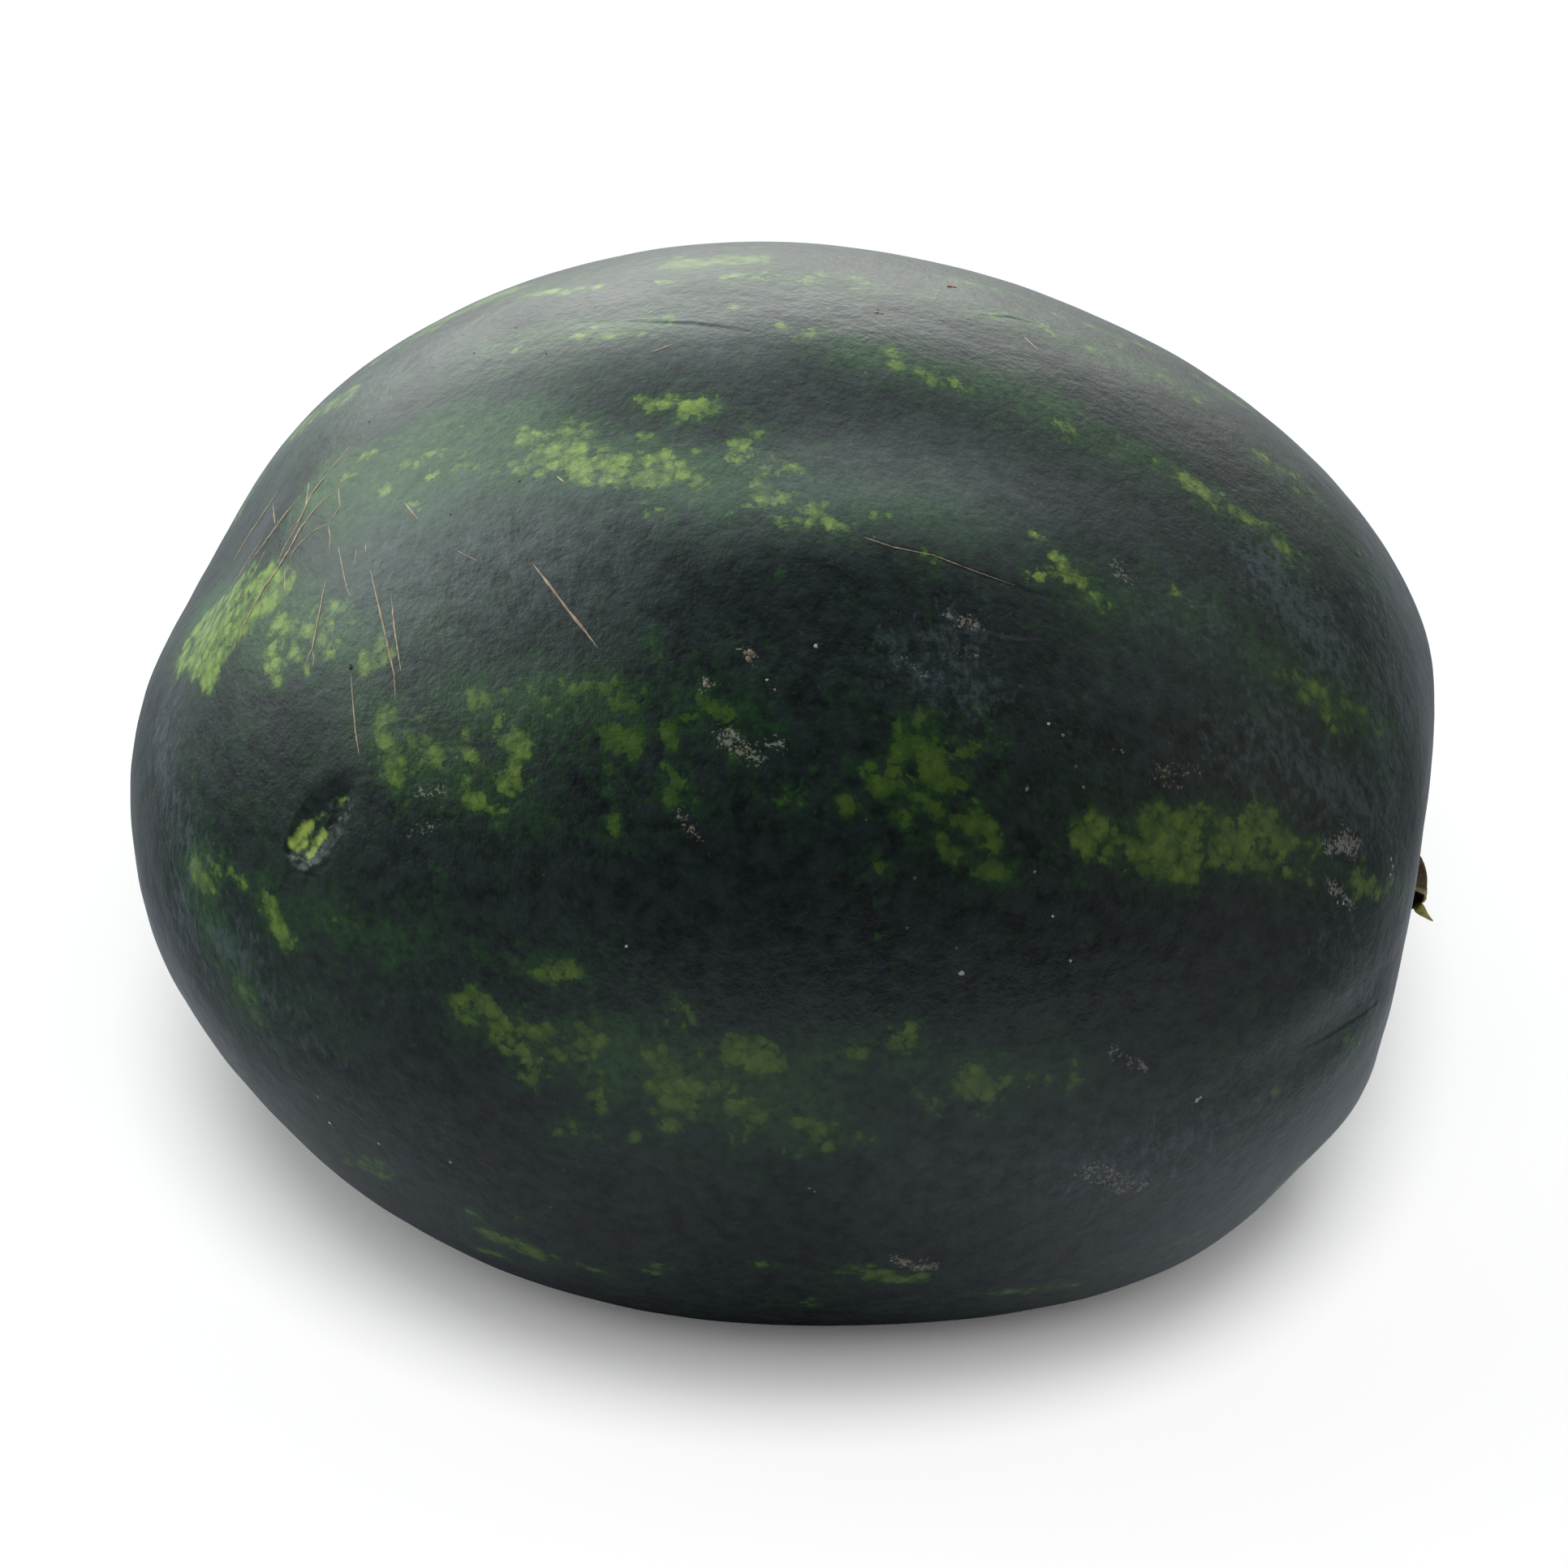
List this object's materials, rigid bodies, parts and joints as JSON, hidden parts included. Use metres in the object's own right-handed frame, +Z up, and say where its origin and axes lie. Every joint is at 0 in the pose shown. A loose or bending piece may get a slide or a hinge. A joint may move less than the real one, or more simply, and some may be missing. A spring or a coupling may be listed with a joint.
{
  "type": "watermelon",
  "caption": "Whole oval watermelon lying on its side, dark green skin with broken yellow-green stripes, and a short dried stem stub.",
  "frame": {"origin": "on the surface it rests on, under the middle of the whole bounding box", "axes": "+X along the fruit towards the stem end, +Z up, and the side seen in the picture faces -Y"},
  "size_m": [0.2746, 0.229, 0.2228],
  "materials": {
    "rind": "waxy, satin, finely grained",
    "dry_stem": "dry, rough, ribbed"
  },
  "bodies": {
    "root": {"fruit": "rind", "stem": "dry_stem"}
  },
  "joints": []
}
